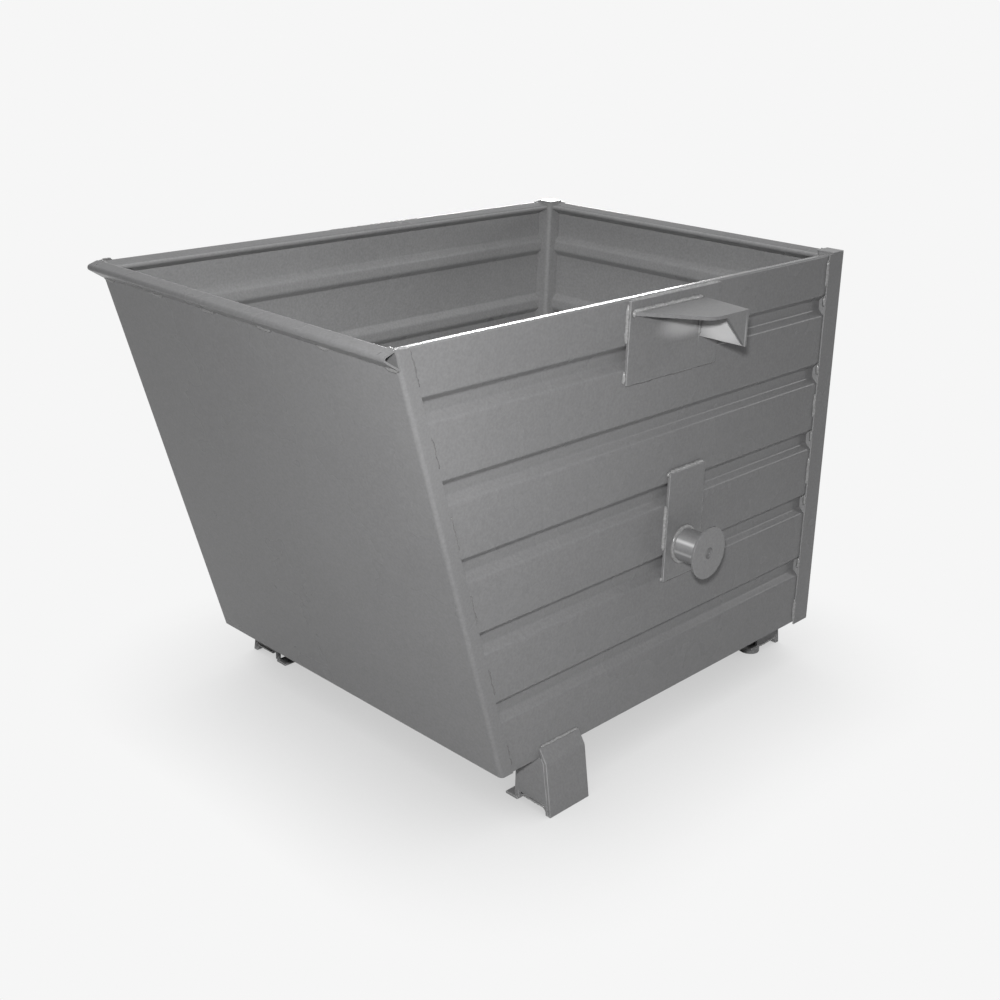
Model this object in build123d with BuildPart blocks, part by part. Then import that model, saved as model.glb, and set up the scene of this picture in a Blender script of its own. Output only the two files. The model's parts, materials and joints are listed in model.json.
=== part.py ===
# Stackable tipping hopper of welded sheet steel.
# Millimetres, +Z up, ground at z = 0. X runs across, along the trunnions. The sloped pouring plate faces -Y.
import os
from math import atan2, cos, hypot, sin, tan

from build123d import *

os.makedirs("parts", exist_ok=True)

# Overall sizes of the tub
tub_width = 800
tub_height = 800
top_length = 1220
floor_length = 958
foot_height = 105
sheet = 3
bend = 4
floor_sheet = 4
plate = 6

# Rims: the side and rear sheets fold inward round a nose and back to the wall, the front sheet folds outward.
# Both rim depths run to the sharp corner of the fold, nose_reach to the rounded front nose.
rim_depth = 40
rim_droop = 9
rim_height = 28
rim_nose = 6
front_rim_depth = 29.5
front_rim_height = 35
front_rim_nose = 6
nose_reach = 19.9

# Horizontal beads pressed into the side and rear sheets
bead_count = 5
bead_pitch = 142
bead_first = 128
bead_width = 44
bead_depth = 12
bead_bend = 8

# Rear corner posts
post_leg = 53
post_box = 40
post_drop = 6
post_bend = 8
cap_thickness = 3

# Front plate flanges, lapped over the side sheets
flange_lap = 29
flange_bend = 8

# Catch for the lifting frame's lock, measured back from the rear face and up from the tub's lower edge
catch_backing_width = 260
catch_backing_height = 150
catch_backing_gap = 4
catch_backing_centre = -557
catch_front = -678
catch_rear = -480
catch_reach = 98
catch_height = 776
catch_drop = 5
catch_lead = 98
catch_end_depth = 66
catch_flange_length = 62

# Trunnions
trunnion_y = -486
trunnion_z = 302
trunnion_radius = 32
trunnion_length = 55
trunnion_disc_radius = 50
trunnion_disc = 5
trunnion_hole_radius = 11
trunnion_weld = 6.5
trunnion_backing_width = 108
trunnion_backing_bottom = 239
trunnion_backing_top = 453

# Stacking feet: guide plate outside the wall, saddle that sits on the rim of the hopper below, gussets, soles
foot_length = 104
front_foot_y = -861
rear_foot_x = 318
lip_reach = 34
guide_top = 20
guide_kink_out = 12
guide_kink_drop = 8
saddle_height = 13
saddle_bend = 10
front_saddle_depth = 33
rear_saddle_depth = 74
gusset_depth = 53.5
gusset_leg = 11
sole_width = 29
sole_offset = 60.5
sole_thickness = 5
round_sole_radius = 23
round_sole_offset = 50

# Worked out from the sizes above
half_width = tub_width / 2
side_face = half_width - sheet
lean = atan2(top_length - floor_length, tub_height)
slope_length = hypot(top_length - floor_length, tub_height)
rear_y = (top_length + nose_reach - (lip_reach - sheet)) / 2
rear_face = rear_y - sheet
front_y = rear_y - floor_length
floor_z = foot_height
rim_z = foot_height + tub_height
bead_heights = [floor_z + bead_first + i * bead_pitch for i in range(bead_count)]
catch_x = side_face + plate
post_inner = half_width - post_box


def finish(piece, name):
    piece.part.label = name
    export_step(piece.part, f"parts/{name}.step")


def corner(point):
    return vertices().sort_by_distance(point)[0]


def bead_outline(face, height):
    half = bead_width / 2
    return [
        (face, height - half),
        (face - bead_depth, height - half + bead_depth),
        (face - bead_depth, height + half - bead_depth),
        (face, height + half),
    ]


# Section of a beaded sheet: folded over inward to a hollow rim at the top, beads below
def beaded_sheet(face):
    top = (face, rim_z)
    nose = (face - rim_depth, rim_z - rim_droop)
    Polygon(
        (face, rim_z - rim_height),
        top,
        nose,
        (face - sheet, rim_z - rim_height),
        align=None,
    )
    fillet(corner(top), radius=bend)
    fillet(corner(nose), radius=rim_nose)
    offset(amount=-sheet, mode=Mode.SUBTRACT)
    path = [(face, floor_z)]
    for height in bead_heights:
        path += bead_outline(face, height)
    path += [(face, rim_z - rim_height)]
    with BuildLine() as strip:
        FilletPolyline(*path, radius=bead_bend)
        offset(amount=sheet, side=Side.LEFT)
    make_face(strip.edges())


def plain_sheet(face):
    with Locations((face - sheet / 2, floor_z + tub_height / 2)):
        Rectangle(sheet, tub_height)


# Front plate: leaning sheet, side flanges folded back, top edge folded outward into a hollow rim
def on_front(out, down):
    y = rear_y - top_length - out * cos(lean) + down * sin(lean)
    return (y, rim_z - out * sin(lean) - down * cos(lean))


front_thick = sheet / cos(lean)
front_up = (0, floor_length - top_length, tub_height)
with BuildPart() as front_plate:
    with BuildSketch(Plane.XY.offset(floor_z)):
        with Locations((0, front_y + flange_lap / 2)):
            Rectangle(tub_width, flange_lap)
        with Locations((0, front_y + front_thick + flange_lap / 2)):
            Rectangle(tub_width - 2 * sheet, flange_lap, mode=Mode.SUBTRACT)
        for side in (-1, 1):
            fillet(corner((side * half_width, front_y)), radius=flange_bend)
            fillet(corner((side * side_face, front_y + front_thick)), radius=flange_bend - sheet)
    extrude(amount=slope_length, dir=front_up)
    with BuildSketch(Plane.YZ.offset(-half_width)):
        Polygon(
            on_front(-sheet, front_rim_height),
            on_front(-sheet, 0),
            on_front(front_rim_depth, 0),
            on_front(0, front_rim_height),
            align=None,
        )
        fillet(corner(on_front(front_rim_depth, 0)), radius=front_rim_nose)
        fillet(corner(on_front(-sheet, 0)), radius=bend)
        offset(amount=-sheet, mode=Mode.SUBTRACT)
    extrude(amount=tub_width)
    vent_y, vent_z = on_front(front_rim_depth / 2, 0)
    vent_plane = Plane(origin=(0, vent_y, vent_z), x_dir=(1, 0, 0), z_dir=(0, -sin(lean), cos(lean)))
    with BuildSketch(vent_plane):
        with Locations((-half_width + 16, 0), (half_width - 16, 0)):
            SlotOverall(9, 3, rotation=90)
    extrude(amount=-2 * sheet, mode=Mode.SUBTRACT)
finish(front_plate, "front_plate")

# Side sheets, trimmed to the inside of the front plate
inside_front = Plane(
    origin=(0, front_y + front_thick, floor_z),
    x_dir=(1, 0, 0),
    z_dir=(0, cos(lean), sin(lean)),
)
with BuildPart() as side_panel_right:
    with BuildSketch(Plane.XZ.offset(post_box - rear_y)):
        beaded_sheet(side_face)
    extrude(amount=top_length)
    with BuildSketch(Plane.XZ.offset(-rear_face)):
        plain_sheet(side_face)
    extrude(amount=post_box - sheet)
    split(bisect_by=inside_front, keep=Keep.TOP)
    add(front_plate.part, mode=Mode.SUBTRACT)
finish(side_panel_right, "side_panel_right")

with BuildPart() as side_panel_left:
    mirror(side_panel_right.part, about=Plane.YZ)
finish(side_panel_left, "side_panel_left")

# Rear sheet, between the side sheets
with BuildPart() as rear_panel:
    with BuildSketch(Plane.YZ.offset(-post_inner)):
        beaded_sheet(rear_face)
    extrude(amount=2 * post_inner)
    with BuildSketch(Plane.YZ.offset(sheet - side_face)):
        plain_sheet(rear_face)
    extrude(amount=side_face - sheet - post_inner)
    with BuildSketch(Plane.YZ.offset(post_inner)):
        plain_sheet(rear_face)
    extrude(amount=side_face - sheet - post_inner)
finish(rear_panel, "rear_panel")

# Floor sheet, resting between the four walls
with BuildPart() as floor_plate:
    with BuildSketch(Plane.YZ.offset(sheet - side_face)):
        front_edge = front_y + front_thick
        Polygon(
            (front_edge, floor_z),
            (front_edge - floor_sheet * tan(lean), floor_z + floor_sheet),
            (rear_face - sheet, floor_z + floor_sheet),
            (rear_face - sheet, floor_z),
            align=None,
        )
    extrude(amount=2 * (side_face - sheet))
    add(front_plate.part, mode=Mode.SUBTRACT)
finish(floor_plate, "floor_plate")

# Rear corner posts: outer angle over the sheets' edges, inner angle closing the corner to a box, cap on top
with BuildPart() as corner_post_right:
    with BuildSketch(Plane.XY.offset(floor_z - post_drop)):
        Polygon(
            (half_width, rear_y),
            (half_width, rear_y - post_leg),
            (side_face, rear_y - post_leg),
            (side_face, rear_face),
            (half_width - post_leg, rear_face),
            (half_width - post_leg, rear_y),
            align=None,
        )
        fillet(corner((half_width, rear_y)), radius=bend)
    extrude(amount=tub_height + post_drop)

with BuildPart() as post_liner_right:
    with BuildSketch(Plane.XY.offset(floor_z + floor_sheet)):
        box_y = rear_y - post_box
        Polygon(
            (side_face - sheet, box_y),
            (post_inner, box_y),
            (post_inner, rear_face - sheet),
            (post_inner + sheet, rear_face - sheet),
            (post_inner + sheet, box_y + sheet),
            (side_face - sheet, box_y + sheet),
            align=None,
        )
        fillet(corner((post_inner, box_y)), radius=post_bend)
        fillet(corner((post_inner + sheet, box_y + sheet)), radius=post_bend - sheet)
    extrude(amount=tub_height - floor_sheet)

with BuildPart() as post_cap_right:
    with BuildSketch(Plane.XY.offset(rim_z)):
        with Locations((half_width - post_box / 2, rear_y - post_box / 2)):
            Rectangle(post_box, post_box)
        fillet(corner((half_width, rear_y)), radius=bend)
    extrude(amount=cap_thickness)

# Plates that close the outside grooves of the beads under the edges of the corner posts
with BuildPart() as bead_ends_side_right:
    with BuildSketch(Plane.XZ.offset(post_leg - rear_y)):
        for height in bead_heights:
            Polygon(*bead_outline(side_face, height), align=None)
    extrude(amount=-sheet)
    add(side_panel_right.part, mode=Mode.SUBTRACT)

with BuildPart() as bead_ends_rear_right:
    with BuildSketch(Plane.YZ.offset(half_width - post_leg)):
        for height in bead_heights:
            Polygon(*bead_outline(rear_face, height), align=None)
    extrude(amount=sheet)
    add(rear_panel.part, mode=Mode.SUBTRACT)

# Catch: backing plate, hood with a folded outer flange, end plate
with BuildPart() as catch_backing_right:
    with BuildSketch(Plane.YZ.offset(side_face)):
        with Locations((rear_y + catch_backing_centre, rim_z - catch_backing_gap - catch_backing_height / 2)):
            Rectangle(catch_backing_width, catch_backing_height)
        fillet(vertices().group_by(Axis.Y)[0], radius=3)
    extrude(amount=plate)

hood_tilt = atan2(catch_drop, catch_reach)
hood_z = floor_z + catch_height
hood_plane = Plane(
    origin=(catch_x + 0.4, rear_y, hood_z),
    x_dir=(cos(hood_tilt), 0, -sin(hood_tilt)),
    z_dir=(sin(hood_tilt), 0, cos(hood_tilt)),
)
hood_outer = catch_x + catch_reach
with BuildPart() as catch_hood_right:
    with BuildSketch(hood_plane):
        lead_end = catch_front + catch_lead
        Polygon(
            (0, catch_front),
            (catch_reach, lead_end),
            (catch_reach, catch_rear),
            (0, catch_rear),
            align=None,
        )
        fillet(corner((catch_reach, lead_end)), radius=40)
    extrude(amount=-plate)
    with BuildSketch(Plane.YZ.offset(hood_outer - plate)):
        flange_top = hood_z - catch_drop - 1
        Polygon(
            (rear_y + catch_rear - catch_flange_length, flange_top),
            (rear_y + catch_rear, flange_top),
            (rear_y + catch_rear, flange_top - catch_end_depth),
            (rear_y + catch_rear - 5, flange_top - catch_end_depth),
            (rear_y + catch_rear - catch_flange_length, flange_top - plate),
            align=None,
        )
    extrude(amount=plate)

with BuildPart() as catch_end_right:
    with BuildSketch(Plane.XZ.offset(-rear_y - catch_rear)):
        end_top = hood_z - plate - 0.3
        end_bottom = hood_z - catch_drop - 1 - catch_end_depth
        Polygon(
            (catch_x, end_bottom),
            (catch_x, end_top),
            (hood_outer - plate, end_top - catch_drop),
            (hood_outer - plate, end_bottom),
            align=None,
        )
    extrude(amount=plate)

# Trunnion: backing strip, round pin, base weld, end disc
with BuildPart() as trunnion_backing_right:
    with BuildSketch(Plane.YZ.offset(side_face)):
        backing_middle = floor_z + (trunnion_backing_bottom + trunnion_backing_top) / 2
        with Locations((rear_y + trunnion_y, backing_middle)):
            Rectangle(trunnion_backing_width, trunnion_backing_top - trunnion_backing_bottom)
    extrude(amount=plate)

trunnion_place = (rear_y + trunnion_y, floor_z + trunnion_z)
with BuildPart() as trunnion_pin_right:
    with BuildSketch(Plane.YZ.offset(catch_x)):
        with Locations(trunnion_place):
            Circle(trunnion_radius)
    extrude(amount=trunnion_length)

with BuildPart() as trunnion_weld_right:
    with BuildSketch(Plane.XY.offset(trunnion_place[1])):
        Polygon(
            (catch_x, trunnion_place[0] + trunnion_radius),
            (catch_x, trunnion_place[0] + trunnion_radius + trunnion_weld),
            (catch_x + trunnion_weld, trunnion_place[0] + trunnion_radius),
            align=None,
        )
    revolve(axis=Axis((0, *trunnion_place), (1, 0, 0)))

with BuildPart() as trunnion_disc_right:
    with BuildSketch(Plane.YZ.offset(catch_x + trunnion_length)):
        with Locations(trunnion_place):
            Circle(trunnion_disc_radius)
            Circle(trunnion_hole_radius, mode=Mode.SUBTRACT)
    extrude(amount=trunnion_disc)
    fillet(edges().filter_by(GeomType.CIRCLE).sort_by(SortBy.RADIUS)[-2:], radius=1)


# Stacking feet, drawn outward from the sheet's outer face and up from the ground
guide_seat = foot_height + guide_top / 2
kink_height = foot_height - guide_kink_drop
lip_inner = lip_reach - plate
guide_slope = (lip_inner - guide_kink_out) / kink_height
saddle_top = saddle_height + plate
saddle_out = lip_inner - guide_slope * saddle_top
lip_corner = lip_inner - plate - guide_slope * saddle_height
gusset_out = guide_kink_out * (guide_seat - foot_height) / (guide_seat - kink_height)


def guide_profile(face):
    Polygon(
        (face, foot_height + guide_top),
        (face + guide_kink_out + plate, kink_height + 2),
        (face + lip_reach, 0),
        (face + lip_inner, 0),
        (face + guide_kink_out, kink_height),
        (face, guide_seat),
        align=None,
    )
    fillet(corner((face + guide_kink_out + plate, kink_height + 2)), radius=plate + 6)
    fillet(corner((face + guide_kink_out, kink_height)), radius=6)


def saddle_profile(face, depth):
    Polygon(
        (face - depth, saddle_top),
        (face + saddle_out, saddle_top),
        (face + lip_inner, 0),
        (face + lip_inner - plate, 0),
        (face + lip_corner, saddle_height),
        (face - depth, saddle_height),
        align=None,
    )
    fillet(corner((face + lip_corner, saddle_height)), radius=saddle_bend)


def gusset_profile(face):
    Polygon(
        (face - gusset_depth, foot_height),
        (face + gusset_out - 1, foot_height),
        (face + guide_kink_out - 1, kink_height),
        (face + saddle_out, saddle_top),
        (face - gusset_depth, saddle_top),
        align=None,
    )


front_foot = Plane.XZ.offset(-rear_y - front_foot_y - foot_length)
with BuildPart() as front_foot_guide_right:
    with BuildSketch(front_foot):
        guide_profile(side_face)
    extrude(amount=foot_length)

with BuildPart() as front_foot_saddle_right:
    with BuildSketch(front_foot):
        saddle_profile(side_face, front_saddle_depth)
    extrude(amount=foot_length)

with BuildPart() as front_foot_gussets_right:
    for start in (0, foot_length - plate):
        with BuildSketch(front_foot.offset(start)):
            gusset_profile(side_face)
            with Locations((side_face - gusset_depth + gusset_leg / 2, (sole_thickness + foot_height) / 2)):
                Rectangle(gusset_leg, foot_height - sole_thickness)
        extrude(amount=plate)

with BuildPart() as front_foot_sole_right:
    with BuildSketch(Plane.XY):
        with Locations((side_face - sole_offset, rear_y + front_foot_y + foot_length / 2)):
            Rectangle(sole_width, foot_length)
    extrude(amount=sole_thickness)

rear_foot = Plane.YZ.offset(rear_foot_x - foot_length)
with BuildPart() as rear_foot_guide_right:
    with BuildSketch(rear_foot):
        guide_profile(rear_face)
    extrude(amount=foot_length)

with BuildPart() as rear_foot_saddle_right:
    with BuildSketch(rear_foot):
        saddle_profile(rear_face, rear_saddle_depth)
    extrude(amount=foot_length)

with BuildPart() as rear_foot_gussets_right:
    for start in (0, foot_length - plate):
        with BuildSketch(rear_foot.offset(start)):
            gusset_profile(rear_face)
        extrude(amount=plate)

with BuildPart() as rear_foot_soles_right:
    with BuildSketch(Plane.XY):
        with Locations((rear_foot_x - foot_length / 2, rear_face - round_sole_offset)):
            with GridLocations(foot_length - 2 * round_sole_radius, 0, 2, 1):
                Circle(round_sole_radius)
    extrude(amount=saddle_height)

# The pieces that come in pairs: the right one as drawn, the left one mirrored
pairs = {
    "corner_post": corner_post_right,
    "post_liner": post_liner_right,
    "post_cap": post_cap_right,
    "bead_ends_side": bead_ends_side_right,
    "bead_ends_rear": bead_ends_rear_right,
    "catch_backing": catch_backing_right,
    "catch_hood": catch_hood_right,
    "catch_end_plate": catch_end_right,
    "trunnion_backing": trunnion_backing_right,
    "trunnion_pin": trunnion_pin_right,
    "trunnion_weld": trunnion_weld_right,
    "trunnion_disc": trunnion_disc_right,
    "front_foot_guide": front_foot_guide_right,
    "front_foot_saddle": front_foot_saddle_right,
    "front_foot_gussets": front_foot_gussets_right,
    "front_foot_sole": front_foot_sole_right,
    "rear_foot_guide": rear_foot_guide_right,
    "rear_foot_saddle": rear_foot_saddle_right,
    "rear_foot_gussets": rear_foot_gussets_right,
    "rear_foot_soles": rear_foot_soles_right,
}
for name, right in pairs.items():
    finish(right, f"{name}_right")
    with BuildPart() as left:
        mirror(right.part, about=Plane.YZ)
    finish(left, f"{name}_left")
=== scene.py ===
# Grey stackable tipping hopper: softened CAD plates, weld seams, paint, stage and camera
import json
import math
import random

import bpy
from mathutils import Matrix, Vector


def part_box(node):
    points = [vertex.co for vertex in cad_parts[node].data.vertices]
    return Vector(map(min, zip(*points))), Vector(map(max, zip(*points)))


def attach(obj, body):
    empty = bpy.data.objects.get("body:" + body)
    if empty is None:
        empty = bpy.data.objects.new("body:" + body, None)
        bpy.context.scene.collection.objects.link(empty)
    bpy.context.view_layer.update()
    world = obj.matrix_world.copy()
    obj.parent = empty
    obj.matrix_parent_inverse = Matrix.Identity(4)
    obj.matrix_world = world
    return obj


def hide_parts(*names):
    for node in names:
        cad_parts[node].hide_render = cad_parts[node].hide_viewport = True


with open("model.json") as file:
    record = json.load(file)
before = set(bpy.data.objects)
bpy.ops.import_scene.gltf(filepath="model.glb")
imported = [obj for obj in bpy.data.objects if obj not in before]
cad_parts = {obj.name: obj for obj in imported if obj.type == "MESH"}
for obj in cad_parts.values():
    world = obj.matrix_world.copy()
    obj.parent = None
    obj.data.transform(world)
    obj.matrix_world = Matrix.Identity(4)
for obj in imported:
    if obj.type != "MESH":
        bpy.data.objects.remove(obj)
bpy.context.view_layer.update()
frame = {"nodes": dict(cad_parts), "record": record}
cadNodes = frame["nodes"]
print("frame loaded:", len(cadNodes), "plates")


def deselectAll():
    if bpy.context.object and bpy.context.object.mode != "OBJECT":
        bpy.ops.object.mode_set(mode="OBJECT")
    bpy.ops.object.select_all(action="DESELECT")


def makeActive(piece):
    deselectAll()
    piece.select_set(True)
    bpy.context.view_layer.objects.active = piece


def applyModifiers(piece):
    makeActive(piece)
    for modifier in list(piece.modifiers):
        bpy.ops.object.modifier_apply(modifier=modifier.name)


def joinPieces(pieces, name):
    deselectAll()
    for piece in pieces:
        piece.select_set(True)
    bpy.context.view_layer.objects.active = pieces[0]
    bpy.ops.object.join()
    pieces[0].name = name
    pieces[0].data.name = name
    return pieces[0]


# paint: tones of the coat, of the painted light inside the tub and how softly it begins, the painted shade at
# weld toes, the tone of bare paint and painted highlights, the polish of rubbed places and the peel's depth
paintLook = {
    "grey": (0.2, 0.2, 0.202, 1),
    "greyDark": (0.168, 0.168, 0.17, 1),
    "dry": (0.295, 0.295, 0.297, 1),
    "dryDark": (0.242, 0.242, 0.244, 1),
    "edge": (0.28, 0.28, 0.282, 1),
    "bare": (0.6, 0.6, 0.6, 1),
    "toe": (0.055, 0.054, 0.053, 1),
    "insideFade": 0.05,
    "rubPolish": 0.08,
    "peelDepth": 0.0004,
}


def newGroup(name, inputs, outputs):
    group = bpy.data.node_groups.new(name, "ShaderNodeTree")
    for socketName, kind, value in inputs:
        socket = group.interface.new_socket(socketName, in_out="INPUT", socket_type=kind)
        socket.default_value = value
    for socketName, kind in outputs:
        group.interface.new_socket(socketName, in_out="OUTPUT", socket_type=kind)
    return group, group.nodes.new("NodeGroupInput"), group.nodes.new("NodeGroupOutput")


def addNoise(tree, place, scale, detail, rough):
    noise = tree.nodes.new("ShaderNodeTexNoise")
    tree.links.new(place, noise.inputs["Vector"])
    tree.links.new(scale, noise.inputs["Scale"])
    noise.inputs["Detail"].default_value = detail
    noise.inputs["Roughness"].default_value = rough
    return noise.outputs["Fac"]


def addRange(tree, value, span, result, blend="LINEAR"):
    node = tree.nodes.new("ShaderNodeMapRange")
    node.interpolation_type = blend
    limits = zip(("From Min", "From Max", "To Min", "To Max"), (*span, *result))
    for socketName, limit in limits:
        node.inputs[socketName].default_value = limit
    tree.links.new(value, node.inputs["Value"])
    return node.outputs["Result"]


def addMath(tree, operation, first, second):
    node = tree.nodes.new("ShaderNodeMath")
    node.operation = operation
    for socket, value in zip(node.inputs, (first, second)):
        if isinstance(value, (int, float)):
            socket.default_value = value
        else:
            tree.links.new(value, socket)
    return node.outputs[0]


# sprayed coat: slow clouds, small flecks, fine grain and orange peel
sprayLook = {
    "layers": {
        "Cloud Scale": {"scale": 3.0, "detail": 4.0, "rough": 0.6},
        "Fleck Scale": {"scale": 60.0, "detail": 3.0, "rough": 0.55},
        "Grain Scale": {"scale": 210.0, "detail": 2.0, "rough": 0.6},
        "Peel Scale": {"scale": 300.0, "detail": 2.0, "rough": 0.5},
    },
    "tones": {"Cloud Scale": (0.0, 0.4), "Fleck Scale": (0.0, 0.2), "Grain Scale": (-0.25, 0.65)},
    "toneSpan": (0.3, 0.7),
    "gloss": (-0.04, 0.07),
    "glossSpan": (0.25, 0.75),
    "fleckHeight": 0.5,
}


def makeSprayCoat():
    layers = sprayLook["layers"]
    inputs = [("Coordinate", "NodeSocketVector", (0, 0, 0))]
    inputs += [(scaleName, "NodeSocketFloat", layer["scale"]) for scaleName, layer in layers.items()]
    outputs = [(socketName, "NodeSocketFloat") for socketName in ("Tone", "Gloss", "Height")]
    group, start, end = newGroup("sprayCoat", inputs, outputs)
    place = start.outputs["Coordinate"]
    noises = {}
    for scaleName, layer in layers.items():
        noises[scaleName] = addNoise(group, place, start.outputs[scaleName], layer["detail"], layer["rough"])
    tone = 0.0
    for scaleName, reach in sprayLook["tones"].items():
        share = addRange(group, noises[scaleName], sprayLook["toneSpan"], reach)
        tone = addMath(group, "ADD", share, tone)
    group.links.new(tone, end.inputs["Tone"])
    gloss = addRange(group, noises["Cloud Scale"], sprayLook["glossSpan"], sprayLook["gloss"])
    group.links.new(gloss, end.inputs["Gloss"])
    flecks = addMath(group, "MULTIPLY", noises["Fleck Scale"], sprayLook["fleckHeight"])
    group.links.new(addMath(group, "ADD", flecks, noises["Peel Scale"]), end.inputs["Height"])
    return group


# worn edges: the coat is thin and lighter on the rounded edges, in uneven stretches
wearLook = {"scale": 25.0, "detail": 5.0, "rough": 0.65, "span": (0.38, 0.62), "worn": (0.15, 1.0)}


def makeEdgeWear():
    inputs = [
        ("Coordinate", "NodeSocketVector", (0, 0, 0)),
        ("Edge", "NodeSocketFloat", 0.0),
        ("Scale", "NodeSocketFloat", wearLook["scale"]),
    ]
    group, start, end = newGroup("edgeWear", inputs, [("Mask", "NodeSocketFloat")])
    place, scale = start.outputs["Coordinate"], start.outputs["Scale"]
    patches = addNoise(group, place, scale, wearLook["detail"], wearLook["rough"])
    worn = addRange(group, patches, wearLook["span"], wearLook["worn"])
    group.links.new(addMath(group, "MULTIPLY", worn, start.outputs["Edge"]), end.inputs["Mask"])
    return group


sprayCoat = makeSprayCoat()
edgeWear = makeEdgeWear()


def addColourMix(tree, factor, first, second):
    mix = tree.nodes.new("ShaderNodeMix")
    mix.data_type = "RGBA"
    tree.links.new(factor, mix.inputs["Factor"])
    for socketName, value in (("A", first), ("B", second)):
        if isinstance(value, tuple):
            mix.inputs[socketName].default_value = value
        else:
            tree.links.new(value, mix.inputs[socketName])
    return mix.outputs["Result"]


def addVector(tree, operation, first, second):
    node = tree.nodes.new("ShaderNodeVectorMath")
    node.operation = operation
    for socket, value in zip(node.inputs, (first, second)):
        if isinstance(value, (tuple, Vector)):
            socket.default_value = value
        else:
            tree.links.new(value, socket)
    return node.outputs["Value" if operation in ("LENGTH", "DOT_PRODUCT") else "Vector"]


# both sides of the hopper wear alike
def addMirrored(tree, place):
    parts = tree.nodes.new("ShaderNodeSeparateXYZ")
    tree.links.new(place, parts.inputs[0])
    both = tree.nodes.new("ShaderNodeCombineXYZ")
    tree.links.new(addMath(tree, "ABSOLUTE", parts.outputs["X"], 0.0), both.inputs["X"])
    tree.links.new(parts.outputs["Y"], both.inputs["Y"])
    tree.links.new(parts.outputs["Z"], both.inputs["Z"])
    return both.outputs[0]


# a bright patch fading out from its middle, for rubbed paint and painted light on the catch
def addPatch(tree, place, patch):
    away = addVector(tree, "SUBTRACT", addMirrored(tree, place), patch["middle"])
    share = tuple(1 / reach for reach in patch["reach"])
    away = addVector(tree, "LENGTH", addVector(tree, "MULTIPLY", away, share), (0, 0, 0))
    return addRange(tree, away, (patch["fade"], 1.0), (patch["depth"], 0.0), "SMOOTHSTEP")


# a painted highlight: a bright strip along the round pins at a set turn round them
def addStrip(tree, place, strip):
    parts = tree.nodes.new("ShaderNodeSeparateXYZ")
    tree.links.new(addVector(tree, "SUBTRACT", addMirrored(tree, place), strip["middle"]), parts.inputs[0])
    forward = addMath(tree, "MULTIPLY", parts.outputs["Y"], -1.0)
    turn = addMath(tree, "ARCTAN2", parts.outputs["Z"], forward)
    away = addMath(tree, "ABSOLUTE", addMath(tree, "SUBTRACT", turn, math.radians(strip["turn"])), 0.0)
    spread = (0.0, math.radians(strip["spread"]))
    fade = addRange(tree, away, spread, (strip["depth"], 0.0), "SMOOTHSTEP")
    over = addMath(tree, "SUBTRACT", addMath(tree, "ABSOLUTE", parts.outputs["X"], 0.0), strip["half"])
    along = addRange(tree, over, (0.0, strip["soft"]), (1.0, 0.0))
    return addMath(tree, "MULTIPLY", fade, along)


# painted light: faces that look towards the middle of the tub get a lighter copy of the coat
def addInsideLight(tree, place, middle):
    normal = tree.nodes.new("ShaderNodeNewGeometry").outputs["Normal"]
    inward = addVector(tree, "DOT_PRODUCT", addVector(tree, "SUBTRACT", middle, place), normal)
    return addRange(tree, inward, (0.0, paintLook["insideFade"]), (0.0, 1.0))


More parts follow.
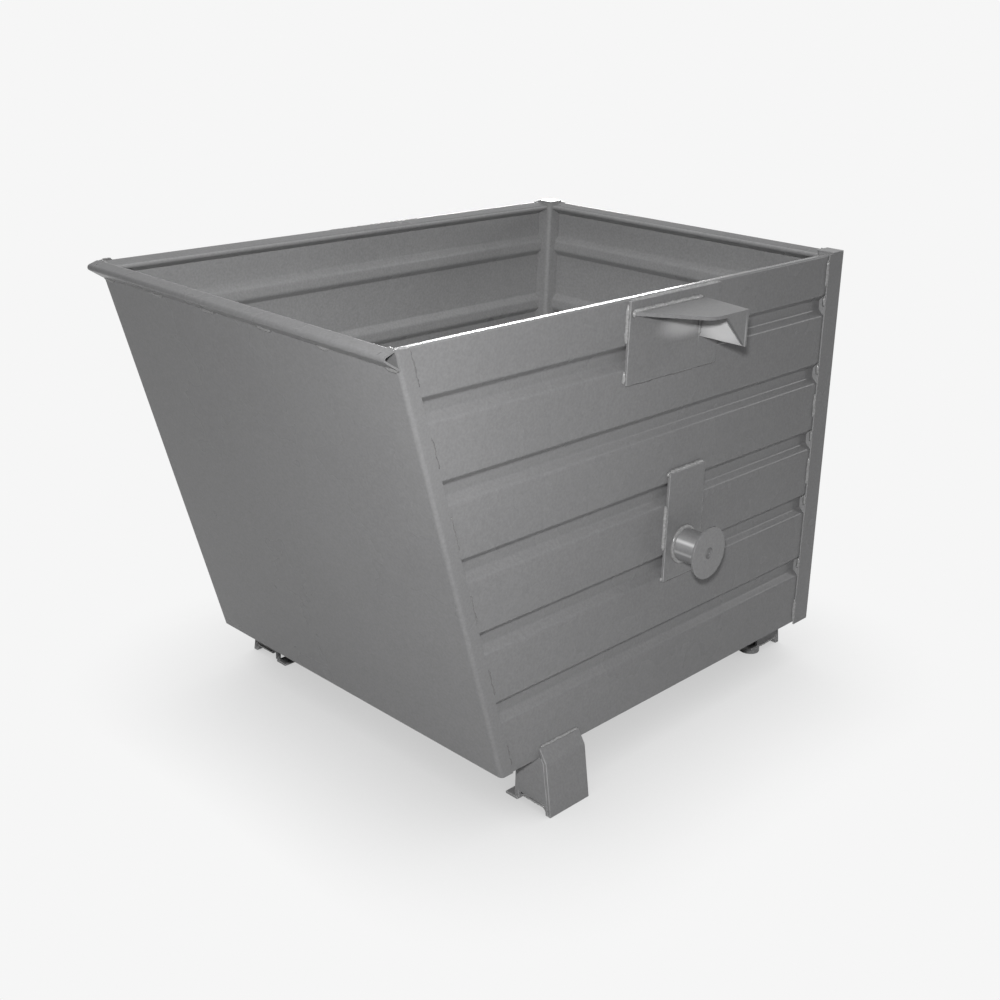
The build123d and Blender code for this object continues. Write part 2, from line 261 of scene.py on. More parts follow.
# look: tones, roughness, shine and peel of the coat, the scale of its clouds and flecks, the mark for its
# edge wear or painted toe shade, and for some coats the middle of the tub for the painted inside light,
# bright patches of rubbed paint and painted glare, or painted highlight strips
def makePaint(name, look):
    material = bpy.data.materials.new(name)
    material.use_nodes = True
    tree = material.node_tree
    shader = tree.nodes["Principled BSDF"]
    shader.inputs["Specular IOR Level"].default_value = look["shine"]
    place = tree.nodes.new("ShaderNodeTexCoord").outputs["Object"]
    coat = tree.nodes.new("ShaderNodeGroup")
    coat.node_tree = sprayCoat
    coat.inputs["Cloud Scale"].default_value = look["clouds"]
    coat.inputs["Fleck Scale"].default_value = look["flecks"]
    tree.links.new(place, coat.inputs["Coordinate"])
    colour = addColourMix(tree, coat.outputs["Tone"], look["dark"], look["light"])
    rough = addMath(tree, "ADD", coat.outputs["Gloss"], look["rough"])
    # painted light: the inside of the tub gets a lighter copy of the coat
    if "inside" in look:
        dry = addColourMix(tree, coat.outputs["Tone"], paintLook["dryDark"], paintLook["dry"])
        colour = addColourMix(tree, addInsideLight(tree, place, look["inside"]), colour, dry)
    mark = tree.nodes.new("ShaderNodeAttribute")
    mark.attribute_name = look["mark"]
    if look["mark"] == "edge":
        wear = tree.nodes.new("ShaderNodeGroup")
        wear.node_tree = edgeWear
        tree.links.new(place, wear.inputs["Coordinate"])
        tree.links.new(mark.outputs["Fac"], wear.inputs["Edge"])
        colour = addColourMix(tree, wear.outputs["Mask"], colour, paintLook["edge"])
    else:
        # painted shade: the weld beads are darker towards their toes
        colour = addColourMix(tree, mark.outputs["Fac"], paintLook["toe"], colour)
    # bright marks: paint rubbed bare on the catch, a painted pool of light beside it and painted highlight
    # strips on the pins, all also made glossier
    rubsAndHighlights = [addPatch(tree, place, patch) for patch in look.get("patches", [])]
    rubsAndHighlights += [addStrip(tree, place, strip) for strip in look.get("strips", [])]
    for rubAndHighlight in rubsAndHighlights:
        colour = addColourMix(tree, rubAndHighlight, colour, paintLook["bare"])
        rough = addMath(tree, "SUBTRACT", rough, addMath(tree, "MULTIPLY", rubAndHighlight, paintLook["rubPolish"]))
    tree.links.new(colour, shader.inputs["Base Color"])
    tree.links.new(rough, shader.inputs["Roughness"])
    bump = tree.nodes.new("ShaderNodeBump")
    bump.inputs["Strength"].default_value = look["peel"]
    bump.inputs["Distance"].default_value = paintLook["peelDepth"]
    tree.links.new(coat.outputs["Height"], bump.inputs["Height"])
    tree.links.new(bump.outputs["Normal"], shader.inputs["Normal"])
    return material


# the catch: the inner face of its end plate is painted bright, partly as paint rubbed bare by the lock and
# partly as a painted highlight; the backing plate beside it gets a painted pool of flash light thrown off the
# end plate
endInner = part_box("catch_end_plate_right")[0]
catchRubAndGlare = [
    {"from": (0.052, 0, 0.022), "reach": (0.085, 0.004, 0.055), "fade": 0.2, "depth": 0.75},
    {"from": (0, -0.03, 0.03), "reach": (0.004, 0.11, 0.032), "fade": 0.3, "depth": 0.5},
]
# painted highlights: bright streaks along the pins at set turns round them, narrow and wide
pinHighlights = [
    {"turn": 31, "spread": 10, "depth": 0.8, "soft": 0.001},
    {"turn": 31, "spread": 34, "depth": 0.2, "soft": 0.001},
    {"turn": -8, "spread": 9, "depth": 0.35, "soft": 0.001},
]
pinLow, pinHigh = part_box("trunnion_pin_right")
pinMiddle = (pinLow + pinHigh) / 2
pinHalf = (pinHigh[0] - pinLow[0]) / 2
coatLooks = {
    "sheetPaint": {
        "rough": 0.27, "shine": 0.12, "peel": 0.35, "clouds": 3.2, "flecks": 60, "mark": "edge",
        # middle of the tub, for the painted light on the inside
        "inside": (0, 0, 0.5),
    },
    "platePaint": {
        "rough": 0.3, "shine": 0.14, "peel": 0.35, "clouds": 6, "flecks": 80, "mark": "edge",
        "patches": [{"middle": endInner + Vector(rubAndHighlight["from"]), **rubAndHighlight} for rubAndHighlight in catchRubAndGlare],
    },
    "trunnionPaint": {
        "rough": 0.16, "shine": 0.35, "peel": 0.2, "clouds": 8, "flecks": 90, "mark": "edge",
        "strips": [{"middle": pinMiddle, "half": pinHalf - rubAndHighlight["soft"], **rubAndHighlight} for rubAndHighlight in pinHighlights],
    },
    "weldPaint": {
        "rough": 0.22, "shine": 0.4, "peel": 0.6, "clouds": 30, "flecks": 220, "mark": "crown",
        "light": (0.3, 0.3, 0.3, 1), "dark": (0.2, 0.2, 0.2, 1),
    },
}
plainTones = {"light": paintLook["grey"], "dark": paintLook["greyDark"]}
paints = {coatName: makePaint(coatName, {**plainTones, **look}) for coatName, look in coatLooks.items()}
slotPaint = {
    "painted_sheet": paints["sheetPaint"],
    "painted_plate": paints["platePaint"],
    "painted_trunnion": paints["trunnionPaint"],
}
print("paint mixed:", len(paints))


# every plate gets rolled or ground edges
plateLook = {
    "edges": {"painted_sheet": 0.0009, "painted_plate": 0.0013, "painted_trunnion": 0.0013},
    "edgeSteps": 2,
    "edgeAngle": 32,
    "flatAngle": 0.4,
    "mergeGap": 0.00001,
}


def camelName(node):
    words = node.split("_")
    return words[0] + "".join(word.capitalize() for word in words[1:])


def softenPlate(node, slotName):
    mesh = cadNodes[node].data.copy()
    piece = bpy.data.objects.new(camelName(node), mesh)
    mesh.name = piece.name
    bpy.context.scene.collection.objects.link(piece)
    makeActive(piece)
    if mesh.has_custom_normals:
        bpy.ops.mesh.customdata_custom_splitnormals_clear()
    bpy.ops.object.mode_set(mode="EDIT")
    bpy.ops.mesh.select_all(action="SELECT")
    bpy.ops.mesh.remove_doubles(threshold=plateLook["mergeGap"])
    bpy.ops.mesh.dissolve_limited(angle_limit=math.radians(plateLook["flatAngle"]))
    bpy.ops.object.mode_set(mode="OBJECT")
    bpy.ops.object.shade_smooth()
    mesh.materials.clear()
    mesh.materials.append(slotPaint[slotName])
    mesh.materials.append(slotPaint[slotName])
    bevel = piece.modifiers.new("edges", "BEVEL")
    bevel.width = plateLook["edges"][slotName]
    bevel.segments = plateLook["edgeSteps"]
    bevel.limit_method = "ANGLE"
    bevel.angle_limit = math.radians(plateLook["edgeAngle"])
    bevel.harden_normals = True
    bevel.material = 1
    applyModifiers(piece)
    # the bevelled faces carry the mark that the paint wears by
    edge = mesh.attributes.new("edge", "FLOAT", "FACE")
    for face in mesh.polygons:
        edge.data[face.index].value = face.material_index
        face.material_index = 0
    mesh.materials.pop(index=1)
    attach(piece, "root")
    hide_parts(node)


# the welds round the pins are modelled with the other welds
for part in frame["record"]["subparts"]:
    if part["node"].startswith("trunnion_weld"):
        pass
    else:
        softenPlate(part["node"], part["material_slot"])
print("plates softened")

# weld beads: a rippled, tapered run of metal from one point to another
weldLook = {
    "sides": 8,
    "pitch": 0.0042,
    "fewestCuts": 3,
    "ripple": 0.14,
    "sink": 0.0014,
    "endSize": 0.35,
    # turns of the phase, rate along the run and share of each sideways wave
    "waves": ((1, 190, 1.0), (2, 430, 0.7)),
    "longestPhase": 6,
    "crownGain": 1.6,
    "leanLimit": 0.4,
    "seed": 41,
}
random.seed(weldLook["seed"])


def selectEdges(piece, wanted):
    bpy.ops.object.mode_set(mode="EDIT")
    bpy.ops.mesh.select_mode(type="EDGE")
    bpy.ops.mesh.select_all(action="DESELECT")
    bpy.ops.object.mode_set(mode="OBJECT")
    corners = piece.data.vertices
    for edge in piece.data.edges:
        edge.select = wanted(corners[edge.vertices[0]].co, corners[edge.vertices[1]].co)


# the sheets that a bead joins face the way its out leans
def joinedFaces(out):
    faces = []
    for axis, part in zip(Matrix.Identity(3), out):
        if abs(part) > weldLook["leanLimit"]:
            faces.append(Vector(axis) * (1 if part > 0 else -1))
    return faces


# out points away from the metal; the ramp given is the mark for painted shade, dark at the toe and full tone
# at the top of the bead. The bead sinks no deeper than sink into the sheets it joins.
def layWeld(start, end, out, width, height, wander=0.0004, crown=(0.5, 1.0)):
    run = Vector(end) - Vector(start)
    length = run.length
    cuts = max(weldLook["fewestCuts"], round(length / weldLook["pitch"]))
    deselectAll()
    bpy.ops.mesh.primitive_cylinder_add(vertices=weldLook["sides"], radius=1, depth=1, end_fill_type="NGON")
    bead = bpy.context.object
    selectEdges(bead, lambda a, b: abs(a.z - b.z) > 0.5)
    bpy.ops.object.mode_set(mode="EDIT")
    bpy.ops.mesh.subdivide(number_cuts=cuts)
    bpy.ops.object.mode_set(mode="OBJECT")
    along = run.normalized()
    away = (Vector(out) - along * Vector(out).dot(along)).normalized()
    across = along.cross(away)
    faces = joinedFaces(out)
    swell = [1 + random.uniform(-1, 1) * weldLook["ripple"] for _ in range(cuts + 2)]
    phase = random.uniform(0, weldLook["longestPhase"])
    endSize = weldLook["endSize"]
    mark = bead.data.attributes.new("crown", "FLOAT", "POINT")
    for corner in bead.data.vertices:
        u = corner.co.z + 0.5
        nearEnd = min(u, 1 - u) * length / width
        size = swell[round(u * (cuts + 1))] * min(1, endSize + (1 - endSize) * math.sqrt(nearEnd))
        reached = u * length
        waves = [share * math.sin(turns * phase + reached * rate) for turns, rate, share in weldLook["waves"]]
        side, rise = corner.co.x * size, corner.co.y * size
        # painted shade: the mark rises from the toe share at the sides to full tone at the top of the bead
        top = max(0, min(1, weldLook["crownGain"] * rise))
        mark.data[corner.index].value = crown[0] + (crown[1] - crown[0]) * top
        offset = across * (side * width / 2 + wander * sum(waves)) + away * (rise * height)
        for face in faces:
            offset += face * max(0, -weldLook["sink"] - offset.dot(face))
        corner.co = Vector(start) + run * u + offset
    bpy.ops.object.shade_smooth()
    return bead


# straight runs: up, from front to back, and from side to side
def layUp(x, y, low, high, out, bead):
    return layWeld((x, y, low), (x, y, high), out, **bead)


def layBack(x, front, back, z, out, bead):
    return layWeld((x, front, z), (x, back, z), out, **bead)


def layAcross(first, last, y, z, out, bead):
    return layWeld((first, y, z), (last, y, z), out, **bead)


def finishWelds(beads, name):
    seam = joinPieces(beads, name)
    makeActive(seam)
    bpy.ops.object.mode_set(mode="EDIT")
    bpy.ops.mesh.select_all(action="SELECT")
    bpy.ops.mesh.normals_make_consistent(inside=False)
    bpy.ops.object.mode_set(mode="OBJECT")
    seam.data.materials.append(paints["weldPaint"])
    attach(seam, "root")


# places on the tub that the welds follow
tubShape = {
    "sheet": 0.003,
    "lean": 0.3275,
    "flangeLap": 0.029,
    "grooveFirst": 0.128,
    "groovePitch": 0.142,
    "grooves": 5,
}
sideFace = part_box("side_panel_right")[1][0]
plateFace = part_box("catch_backing_right")[1][0]
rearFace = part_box("rear_panel")[1][1]
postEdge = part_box("corner_post_right")[0]
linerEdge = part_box("post_liner_right")[0]
floorLow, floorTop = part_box("floor_plate")[0][2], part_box("floor_plate")[1][2]
frontInside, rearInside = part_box("floor_plate")[0][1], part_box("floor_plate")[1][1]
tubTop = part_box("side_panel_right")[1][2]
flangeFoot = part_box("front_plate")[1][1]
wallInside = sideFace - tubShape["sheet"]
firstGroove = floorLow + tubShape["grooveFirst"]
grooveHeights = [firstGroove + i * tubShape["groovePitch"] for i in range(tubShape["grooves"])]


def flangeEdge(up):
    return flangeFoot - tubShape["lean"] * up


# stitches along the front flanges, thin and painted dark as shade at the flange edge
flangeLook = {
    "runs": ((0.735, 0.796), (0.598, 0.654), (0.452, 0.512), (0.310, 0.366), (0.165, 0.224), (0.016, 0.062)),
    "gap": 0.0012,
    "stitch": {"width": 0.0042, "height": 0.0032, "wander": 0.0011, "crown": (0.0, 0.45)},
}


def weldFlange(side, sideName):
    beads = []
    for low, high in flangeLook["runs"]:
        foot = (side * sideFace, flangeEdge(low) + flangeLook["gap"], floorLow + low)
        head = (side * sideFace, flangeEdge(high) + flangeLook["gap"], floorLow + high)
        beads.append(layWeld(foot, head, (side, 0, 0), **flangeLook["stitch"]))
    finishWelds(beads, "flangeStitches" + sideName)


# corner posts: stitched to the side and rear sheets, a blob at each groove end
postLook = {
    "runs": ((0.734, 0.789), (0.460, 0.511), (0.314, 0.373), (0.002, 0.054)),
    "gap": 0.001,
    "stitchLean": 0.6,
    "stitch": {"width": 0.0085, "height": 0.0042},
    "blobBelow": 0.003,
    "blobAbove": 0.02,
    "blobLean": 0.5,
    "blob": {"width": 0.007, "height": 0.0042, "wander": 0.0008},
}


def weldPost(side, sideName):
    gap = postLook["gap"]
    sideY = postEdge[1] - gap
    rearX = side * (postEdge[0] - gap)
    beads = []
    lean = postLook["stitchLean"]
    for low, high in postLook["runs"]:
        foot, head = floorLow + low, floorLow + high
        beads.append(layUp(side * sideFace, sideY, foot, head, (side, -lean, 0), postLook["stitch"]))
        beads.append(layUp(rearX, rearFace, foot, head, (-lean * side, 1, 0), postLook["stitch"]))
    lean = postLook["blobLean"]
    for groove in grooveHeights:
        foot, head = groove - postLook["blobBelow"], groove + postLook["blobAbove"]
        beads.append(layUp(side * (sideFace - gap), sideY, foot, head, (side, -lean, 0), postLook["blob"]))
        beads.append(layUp(rearX, rearFace - gap, foot, head, (-lean * side, 1, 0), postLook["blob"]))
    finishWelds(beads, "postWelds" + sideName)


# catch: backing plate, hood and end plate
catchLook = {
    "edge": {"width": 0.009, "height": 0.005},
    "edgeGap": 0.0005,
    "edgeFoot": 0.003,
    "edgeHead": 0.006,
    "grooveClear": 0.024,
    "top": {"width": 0.006, "height": 0.0022, "wander": 0.0003},
    "topOut": 0.002,
    "topInset": 0.004,
    "topLean": 1.5,
    "under": {"width": 0.006, "height": 0.0042, "wander": 0.0006, "crown": (0.0, 0.4)},
    "underRuns": ((0.16, 0.3), (0.5, 0.76), (0.82, 0.99)),
    "hood": {"width": 0.013, "height": 0.006},
    "hoodOver": 0.002,
    "hoodEndGap": 0.001,
    "hoodEndBelow": 0.009,
    "hoodEndAbove": 0.003,
    "hoodUnder": {"width": 0.008, "height": 0.004},
    "hoodUnderInset": 0.012,
    "hoodUnderDrop": 0.006,
    "endFoot": 0.003,
    "endTop": {"width": 0.007, "height": 0.0035},
    "endTopInset": 0.004,
    "endTopDrop": 0.005,
}


def weldCatch(side, sideName):
    look = catchLook
    low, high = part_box("catch_backing_right")
    hoodLow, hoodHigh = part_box("catch_hood_right")
    endLow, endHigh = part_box("catch_end_plate_right")
    wall, plate = side * sideFace, side * plateFace
    beads = []
    # front edge of the backing plate, clear of the groove behind it
    clearLow, clearHigh = grooveHeights[-1] - look["grooveClear"], grooveHeights[-1] + look["grooveClear"]
    for foot, head in ((low[2] + look["edgeFoot"], clearLow), (clearHigh, high[2] - look["edgeHead"])):
        beads.append(layUp(wall, low[1] - look["edgeGap"], foot, head, (side, -1, 0), look["edge"]))
    # its top and lower edges; the lower runs are painted dark as shade under the plate
    topX = side * (sideFace + look["topOut"])
    first, last = low[1] + look["topInset"], high[1] - look["topInset"]
    beads.append(layBack(topX, first, last, high[2], (side, 0, look["topLean"]), look["top"]))
    length = high[1] - low[1]
    for start, end in look["underRuns"]:
        first, last = low[1] + start * length, low[1] + end * length
        beads.append(layBack(wall, first, last, low[2], (side, 0, -1), look["under"]))
    # hood: on top, round its front end and underneath
    hoodTop = hoodHigh[2]
    first, last = hoodLow[1] - look["hoodOver"], hoodHigh[1]
    beads.append(layBack(plate, first, last, hoodTop, (side, 0, 1), look["hood"]))
    hoodEndX, hoodEndY = side * (plateFace + look["hoodEndGap"]), hoodLow[1] - look["hoodEndGap"]
    foot, head = hoodTop - look["hoodEndBelow"], hoodTop + look["hoodEndAbove"]
    beads.append(layUp(hoodEndX, hoodEndY, foot, head, (side, -1, 0), look["edge"]))
    first, last = hoodLow[1] + look["hoodUnderInset"], endLow[1]
    underZ = hoodTop - look["hoodUnderDrop"]
    beads.append(layBack(plate, first, last, underZ, (side, 0, -1), look["hoodUnder"]))
    # end plate: up the backing plate and out along the hood
    for faceY, away in ((endLow[1], -1), (endHigh[1], 1)):
        foot, head = endLow[2] + look["endFoot"], endHigh[2]
        beads.append(layUp(plate, faceY, foot, head, (side, away, 0), look["edge"]))
        outer = (side * (endHigh[0] - look["endTopInset"]), faceY, endHigh[2] - look["endTopDrop"])
        beads.append(layWeld((plate, faceY, endHigh[2]), outer, (0, away, -1), **look["endTop"]))
    finishWelds(beads, "catchWelds" + sideName)


# a rippled ring round the foot of the pin, painted darker towards its toe as shade
ringLook = {
    "thick": 0.0052,
    "steps": 72,
    "sides": 12,
    "ripple": 0.05,
    # count round the ring, shift by side and share of each wave
    "waves": ((23, 0, 1.0), (7, 1, 0.8), (38, 0, 0.6)),
    "sink": 0.004,
    "toe": 0.5,
}


def weldPin(side, sideName):
    thick, toe = ringLook["thick"], ringLook["toe"]
    low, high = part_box("trunnion_weld_right")
    middle = (low + high) / 2
    outer = (high[1] - low[1]) / 2
    deselectAll()
    bpy.ops.mesh.primitive_torus_add(
        major_radius=outer - thick, minor_radius=thick,
        major_segments=ringLook["steps"], minor_segments=ringLook["sides"],
    )
    ring = bpy.context.object
    mark = ring.data.attributes.new("crown", "FLOAT", "POINT")
    for corner in ring.data.vertices:
        turn = math.atan2(corner.co.y, corner.co.x)
        waves = [share * math.sin(count * turn + shift * side) for count, shift, share in ringLook["waves"]]
        lump = 1 + ringLook["ripple"] * sum(waves)
        reach = outer + (math.hypot(corner.co.x, corner.co.y) - outer) / lump
        rise = max(-ringLook["sink"], corner.co.z * lump)
        # painted shade: darker towards the toe of the ring
        mark.data[corner.index].value = toe + (1 - toe) * max(0, min(1, rise / thick))
        y, z = middle[1] + reach * math.cos(turn), middle[2] + reach * math.sin(turn)
        corner.co = (side * (plateFace + rise), y, z)
    bpy.ops.object.shade_smooth()
    finishWelds([ring], "pinWeld" + sideName)
    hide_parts("trunnion_weld_" + sideName.lower())


# trunnion backing: a full run on top, part runs on the edges, measured down from the top, and a run
# underneath painted dark as shade
backingLook = {
    "top": {"width": 0.011, "height": 0.0058},
    "topInset": 0.001,
    "topOut": 0.001,
    "edge": {"width": 0.01, "height": 0.0055},
    "frontRun": (0.153, 0.063),
    "frontHead": (0.008, -0.002),
    "frontFoot": 0.009,
    "rearRun": (0.15, 0.065),
    "under": {"width": 0.007, "height": 0.004, "wander": 0.0005, "crown": (0.0, 0.4)},
    "underInset": 0.01,
}


def weldBacking(side, sideName):
    look = backingLook
    low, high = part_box("trunnion_backing_right")
    wall, top = side * sideFace, high[2]
    first, last = low[1] + look["topInset"], high[1] - look["topInset"]
    beads = [layBack(side * (sideFace + look["topOut"]), first, last, top, (side, 0, 1), look["top"])]
    for edgeY, away, foot, head in (
        (low[1], -1, top - look["frontRun"][0], top - look["frontRun"][1]),
        (low[1], -1, low[2], low[2] + look["frontFoot"]),
        (low[1], -1, top - look["frontHead"][0], top - look["frontHead"][1]),
        (high[1], 1, top - look["rearRun"][0], top - look["rearRun"][1]),
    ):
        beads.append(layUp(wall, edgeY, foot, head, (side, away, 0), look["edge"]))
    first, last = low[1] + look["underInset"], high[1] - look["underInset"]
    beads.append(layBack(wall, first, last, low[2], (side, 0, -1), look["under"]))
    finishWelds(beads, "trunnionWelds" + sideName)


# feet: guide plates to the walls, gussets to the guides, saddles and floor
footLook = {
    "guide": {"width": 0.006, "height": 0.0032},
    "guideInset": 0.002,
    "guideOut": 0.0005,
    "gusset": {"width": 0.007, "height": 0.0035},
    "outerFace": 0.001,
    "innerFace": 0.007,
    "saddleDrop": 0.002,
    "saddleIn": 0.031,
    "saddleOut": 0.02,
    "gussetInset": 0.004,
    "rearInset": 0.008,
}


def weldFeet(side, sideName):
    look = footLook
    beads = []
    # front foot, along the side wall
    low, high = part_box("front_foot_guide_right")
    guideX = side * (sideFace + look["guideOut"])
    first, last = low[1] + look["guideInset"], high[1] - look["guideInset"]
    beads.append(layBack(guideX, first, last, high[2], (side, 0, 1), look["guide"]))
    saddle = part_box("front_foot_saddle_right")[1][2] - look["saddleDrop"]
    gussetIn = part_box("front_foot_gussets_right")[0][0] + look["gussetInset"]
    for faceY, away in ((low[1], -1), (high[1], 1)):
        first, last = side * (sideFace - look["saddleIn"]), side * (sideFace + look["saddleOut"])
        outerY, innerY = faceY - away * look["outerFace"], faceY - away * look["innerFace"]
        beads.append(layAcross(first, last, outerY, saddle, (0, away, -1), look["gusset"]))
        first, last = side * gussetIn, side * (wallInside - look["gussetInset"])
        beads.append(layAcross(first, last, innerY, floorLow, (0, -away, -1), look["gusset"]))
    # rear foot, along the rear wall
    low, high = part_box("rear_foot_guide_right")
    guideY = rearFace + look["guideOut"]
    first, last = side * (low[0] + look["guideInset"]), side * (high[0] - look["guideInset"])
    beads.append(layAcross(first, last, guideY, high[2], (0, 1, 1), look["guide"]))
    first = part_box("rear_foot_gussets_right")[0][1] + look["gussetInset"]
    for faceX, away in ((low[0], -1), (high[0], 1)):
        outerX, innerX = side * (faceX - away * look["outerFace"]), side * (faceX - away * look["innerFace"])
        last = rearFace - look["rearInset"]
        beads.append(layBack(innerX, first, last, floorLow, (-away * side, 0, -1), look["gusset"]))
        last = rearFace + look["saddleOut"]
        beads.append(layBack(outerX, first, last, saddle, (away * side, 0, -1), look["gusset"]))
    finishWelds(beads, "footWelds" + sideName)


# inside corners of the tub: side wall to floor and to the front plate
cornerLook = {
    "seam": {"width": 0.008, "height": 0.0045},
    "floorInset": 0.012,
    "linerGap": 0.006,
    "frontGap": 0.001,
    "frontFoot": 0.006,
    "frontLean": 0.3,
    "rimClear": 0.04,
    "rimLump": {"width": 0.009, "height": 0.0042, "wander": 0.0008},
    "rimLumpLean": 0.6,
    "rimLumpOuter": {"in": 0.004, "back": 0.001, "drop": 0.001},
    "rimLumpInner": {"in": 0.006, "back": 0.003, "drop": 0.006},
    "flangeLump": {"width": 0.006, "height": 0.0034, "wander": 0.0006},
    "flangeLumpOut": 0.001,
    "flangeLumpRun": (0.004, 0.026),
    "flangeLumpDrop": 0.001,
}


def weldCorner(side, sideName):
    look = cornerLook
    wall = side * wallInside
    beads = []
    first, last = frontInside + look["floorInset"], linerEdge[1] - look["linerGap"]
    beads.append(layBack(wall, first, last, floorTop, (-side, 0, 1), look["seam"]))
    rise = tubTop - floorTop - look["rimClear"]
    foot = (wall, frontInside + look["frontGap"], floorTop + look["frontFoot"])
    head = (wall, foot[1] - tubShape["lean"] * rise, foot[2] + rise)
    beads.append(layWeld(foot, head, (-side, 1, look["frontLean"]), **look["seam"]))
    # lumps on top, where the side rim and the flange meet the front rim
    rimX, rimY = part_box("side_panel_right")[0][0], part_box("side_panel_right")[0][1]
    outer, inner = look["rimLumpOuter"], look["rimLumpInner"]
    start = (side * (sideFace - outer["in"]), rimY + outer["back"], tubTop - outer["drop"])
    end = (side * (rimX + inner["in"]), rimY + inner["back"], tubTop - inner["drop"])
    beads.append(layWeld(start, end, (0, look["rimLumpLean"], 1), **look["rimLump"]))
    lumpX, lumpZ = side * (sideFace + look["flangeLumpOut"]), tubTop - look["flangeLumpDrop"]
    first, last = rimY + look["flangeLumpRun"][0], rimY + look["flangeLumpRun"][1]
    beads.append(layBack(lumpX, first, last, lumpZ, (side, 0, 1), look["flangeLump"]))
    finishWelds(beads, "cornerSeam" + sideName)


for side, sideName in ((1, "Right"), (-1, "Left")):
    weldFlange(side, sideName)
    weldPost(side, sideName)
    weldCatch(side, sideName)
    weldPin(side, sideName)
    weldBacking(side, sideName)
    weldFeet(side, sideName)
    weldCorner(side, sideName)

# front rim stitches, under the nose of the rim, painted dark as the shade under the nose
rimLook = {
    "runs": ((-0.395, -0.36), (-0.245, -0.205), (-0.09, -0.055), (0.06, 0.1), (0.21, 0.245), (0.37, 0.399)),
    "back": 0.0109,
    "down": 0.0333,
    "out": (0, -0.95, -0.31),
    "stitch": {"width": 0.008, "height": 0.003, "wander": 0.0006, "crown": (0.0, 0.6)},
}
rimY = flangeEdge(tubTop - floorLow) - tubShape["flangeLap"] + rimLook["back"]
rimZ = tubTop - rimLook["down"]
beads = []
for first, last in rimLook["runs"]:
    beads.append(layAcross(first, last, rimY, rimZ, rimLook["out"], rimLook["stitch"]))
finishWelds(beads, "rimStitches")

# floor seams at the front and rear
floorSeam = {
    "bead": {"width": 0.009, "height": 0.005},
    "inset": 0.012,
    "frontOut": (0, 1, 0.7),
    "rearOut": (0, -1, 1),
}
frontEnd = wallInside - floorSeam["inset"]
rearEnd = linerEdge[0]
beads = [
    layAcross(-frontEnd, frontEnd, frontInside, floorTop, floorSeam["frontOut"], floorSeam["bead"]),
    layAcross(-rearEnd, rearEnd, rearInside, floorTop, floorSeam["rearOut"], floorSeam["bead"]),
]
finishWelds(beads, "floorSeams")
print("welds laid")

# stage, light and camera
stageLook = {
    "floorTone": 0.8,
    "floorRough": 0.9,
    "floorRadius": 30,
    "floorSides": 96,
    "backTone": 0.922,
    "shadeTone": 0.5,
    "shadeReach": 0.35,
    "shadeSamples": 16,
    "skyLight": 0.03,
}
lampLook = {
    "flash": {"at": (1.8, -1.95, 1.65), "aim": (0.4, -0.5, 0.72), "size": 0.14, "spread": 85, "power": 17.6},
    "top": {"at": (-0.2, 0.2, 3.4), "aim": (0, 0, 0.6), "size": 2.4, "spread": 180, "power": 50},
    "window": {"at": (2.6, 4.2, 2.0), "aim": (0, 0.2, 0.6), "size": 0.7, "spread": 180, "power": 24},
    "fill": {"at": (-2.6, 2.8, 0.8), "aim": (0, 0, 0.45), "size": 1.2, "spread": 180, "power": 130},
}
cameraLook = {
    "at": (1.8329, -1.9176, 1.4288),
    "turn": (74.3486, -1.7258, 44.9353),
    "lens": 50.733,
    "sensor": 36,
    "shift": (0.028, -0.135),
}


# camera, mirror and see-through rays see the paper, all others the light
def seenDirectly(tree):
    path = tree.nodes.new("ShaderNodeLightPath")
    mirrored = addMath(tree, "MAXIMUM", path.outputs["Is Glossy Ray"], path.outputs["Is Transmission Ray"])
    return addMath(tree, "MAXIMUM", path.outputs["Is Camera Ray"], mirrored)


def mixSeen(tree, lit, seen, output):
    mix = tree.nodes.new("ShaderNodeMixShader")
    tree.links.new(seenDirectly(tree), mix.inputs[0])
    tree.links.new(lit.outputs[0], mix.inputs[1])
    tree.links.new(seen.outputs[0], mix.inputs[2])
    tree.links.new(mix.outputs[0], output.inputs["Surface"])


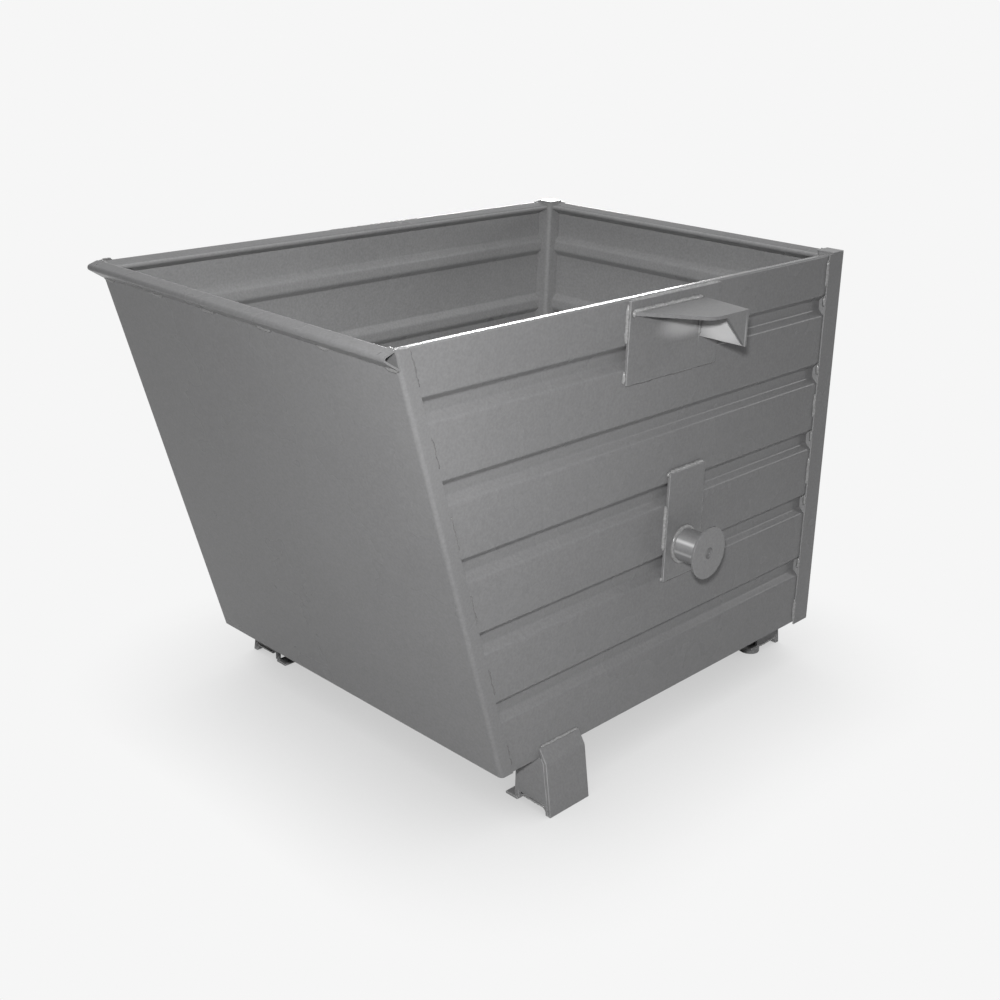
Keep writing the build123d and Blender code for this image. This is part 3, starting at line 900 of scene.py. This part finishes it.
def makeFloor():
    deselectAll()
    bpy.ops.mesh.primitive_circle_add(
        vertices=stageLook["floorSides"], radius=stageLook["floorRadius"], fill_type="NGON",
    )
    floor = bpy.context.object
    floor.name = "studioFloor"
    material = bpy.data.materials.new("studioFloor")
    material.use_nodes = True
    tree = material.node_tree
    lit = tree.nodes["Principled BSDF"]
    tone = stageLook["floorTone"]
    lit.inputs["Base Color"].default_value = (tone, tone, tone, 1)
    lit.inputs["Roughness"].default_value = stageLook["floorRough"]
    lit.inputs["Specular IOR Level"].default_value = 0.0
    # what the camera sees: the paper tone, with a painted contact shadow where the object stands close
    shade = tree.nodes.new("ShaderNodeAmbientOcclusion")
    shade.samples = stageLook["shadeSamples"]
    shade.inputs["Distance"].default_value = stageLook["shadeReach"]
    tones = (stageLook["shadeTone"], stageLook["backTone"])
    paper = tree.nodes.new("ShaderNodeEmission")
    tree.links.new(addRange(tree, shade.outputs["AO"], (0.0, 1.0), tones), paper.inputs["Color"])
    mixSeen(tree, lit, paper, tree.nodes["Material Output"])
    floor.data.materials.append(material)


def makeWorld():
    world = bpy.data.worlds.new("studio")
    bpy.context.scene.world = world
    world.use_nodes = True
    tree = world.node_tree
    light = tree.nodes["Background"]
    light.inputs["Color"].default_value = (1, 1, 1, 1)
    light.inputs["Strength"].default_value = stageLook["skyLight"]
    shown = tree.nodes.new("ShaderNodeBackground")
    tone = stageLook["backTone"]
    shown.inputs["Color"].default_value = (tone, tone, tone, 1)
    mixSeen(tree, light, shown, tree.nodes["World Output"])


def makeLamp(name, look):
    lamp = bpy.data.lights.new(name, "AREA")
    lamp.size = look["size"]
    lamp.energy = look["power"]
    lamp.spread = math.radians(look["spread"])
    holder = bpy.data.objects.new(name, lamp)
    bpy.context.scene.collection.objects.link(holder)
    holder.location = look["at"]
    holder.rotation_euler = (Vector(look["aim"]) - Vector(look["at"])).to_track_quat("-Z", "Y").to_euler()


def makeCamera():
    lens = bpy.data.cameras.new("photoCamera")
    lens.lens = cameraLook["lens"]
    lens.sensor_width = cameraLook["sensor"]
    lens.shift_x, lens.shift_y = cameraLook["shift"]
    holder = bpy.data.objects.new("photoCamera", lens)
    bpy.context.scene.collection.objects.link(holder)
    holder.location = cameraLook["at"]
    holder.rotation_euler = [math.radians(angle) for angle in cameraLook["turn"]]
    bpy.context.scene.camera = holder


makeFloor()
makeWorld()
for lampName, look in lampLook.items():
    makeLamp(lampName + "Lamp", look)
makeCamera()
bpy.context.scene.view_settings.view_transform = "Standard"
print("stage lit")
